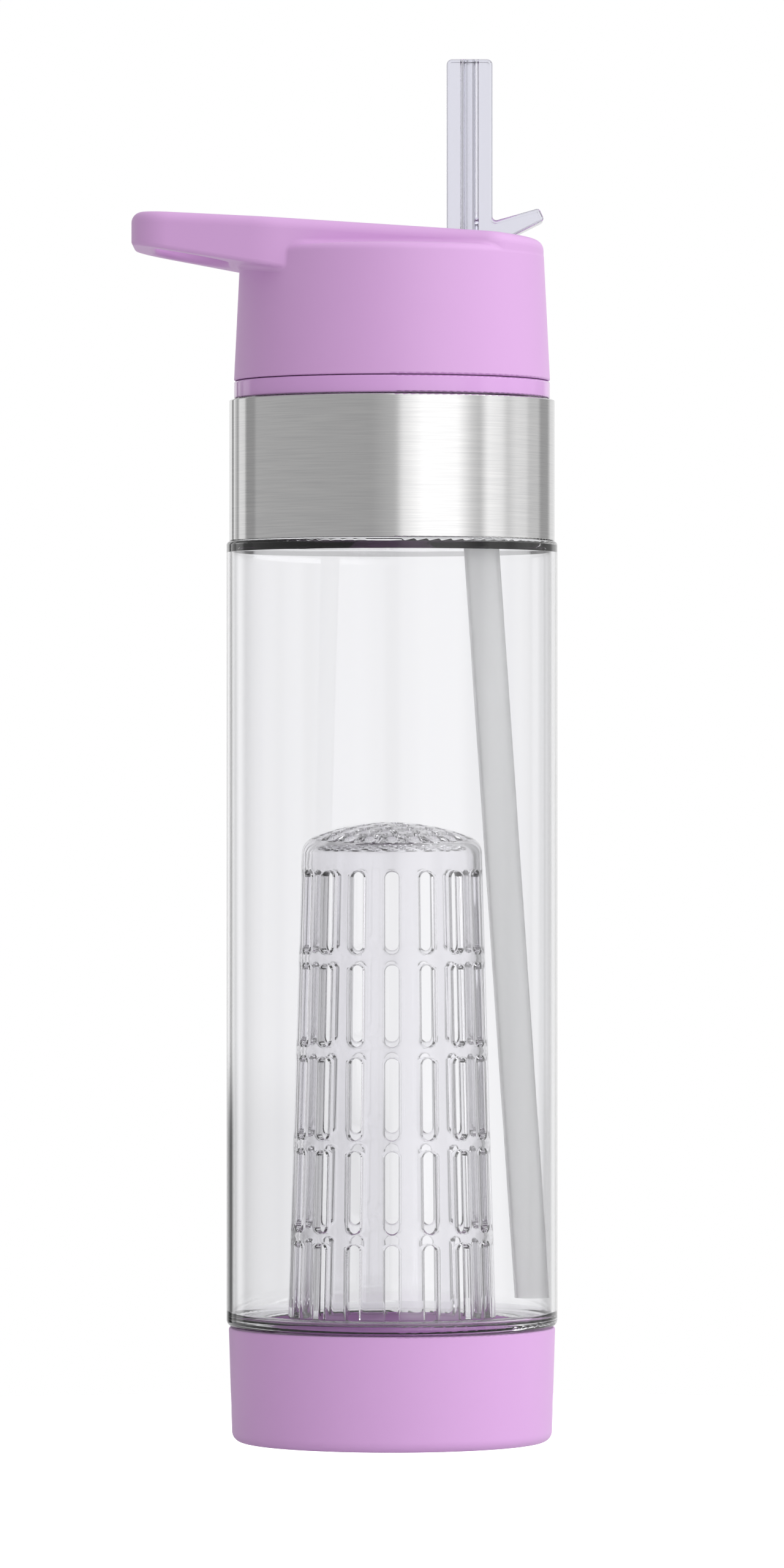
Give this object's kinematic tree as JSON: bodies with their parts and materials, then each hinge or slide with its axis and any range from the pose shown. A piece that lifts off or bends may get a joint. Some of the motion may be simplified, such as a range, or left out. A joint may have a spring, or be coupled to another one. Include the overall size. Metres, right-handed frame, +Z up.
{
  "type": "infuser water bottle",
  "caption": "Clear drinking bottle with a slotted fruit basket on its screw base, a steel band, and a screw lid with a finger loop, a folding spout and a tilted straw.",
  "frame": {"origin": "centre of the base's flat underside, on the bottle's axis", "axes": "+Z up along the bottle's axis, -X towards the finger loop, +X towards the spout's thumb tab"},
  "size_m": [0.0937, 0.073, 0.3046],
  "materials": {
    "lilac_matte": "soft-touch matte lilac",
    "lilac_gloss": "glossy moulded lilac",
    "clear_tube": "clear polished",
    "clear_basket": "clear polished",
    "clear_spout": "clear polished",
    "frosted_straw": "translucent satin",
    "brushed_band": "brushed round the axis",
    "silicone": "translucent white silicone"
  },
  "bodies": {
    "bottle": {"bottle_tube": "clear_tube", "steel_band": "brushed_band"},
    "base_seal": {"base_gasket": "silicone"},
    "base": {"base_cup": "lilac_matte", "base_insert": "lilac_gloss"},
    "basket": {"infuser_basket": "clear_basket"},
    "lid_seal": {"lid_gasket": "silicone"},
    "lid": {"lid_insert": "lilac_gloss", "lid_cover": "lilac_matte", "vent_valve": "silicone", "spout_seal": "silicone", "straw": "frosted_straw"},
    "spout": {"spout": "clear_spout"}
  },
  "joints": [
    {"name": "lid_rise", "type": "slide", "parent": "bottle", "child": "lid_seal", "axis": [0, 0, 1], "range_m": [0, 0.009]},
    {"name": "lid_turn", "type": "hinge", "parent": "lid_seal", "child": "lid", "pos_m": [0, 0, 0.24], "axis": [0, 0, 1], "range_deg": [0, 540]},
    {"name": "base_drop", "type": "slide", "parent": "bottle", "child": "base_seal", "axis": [0, 0, -1], "range_m": [0, 0.009]},
    {"name": "base_turn", "type": "hinge", "parent": "base_seal", "child": "base", "pos_m": [0, 0, 0.012], "axis": [0, 0, -1], "range_deg": [0, 540]},
    {"name": "basket_twist", "type": "hinge", "parent": "base", "child": "basket", "pos_m": [0, 0, 0.0225], "axis": [0, 0, 1], "range_deg": [0, 90]},
    {"name": "spout_flip", "type": "hinge", "parent": "lid", "child": "spout", "pos_m": [0.0171, 0, 0.262], "axis": [0, -1, 0], "range_deg": [0, 90]}
  ],
  "couplings": [
    {"joint": "lid_rise", "follows": "lid_turn", "m_per_rad": 0.0009549},
    {"joint": "base_drop", "follows": "base_turn", "m_per_rad": 0.0009549}
  ]
}
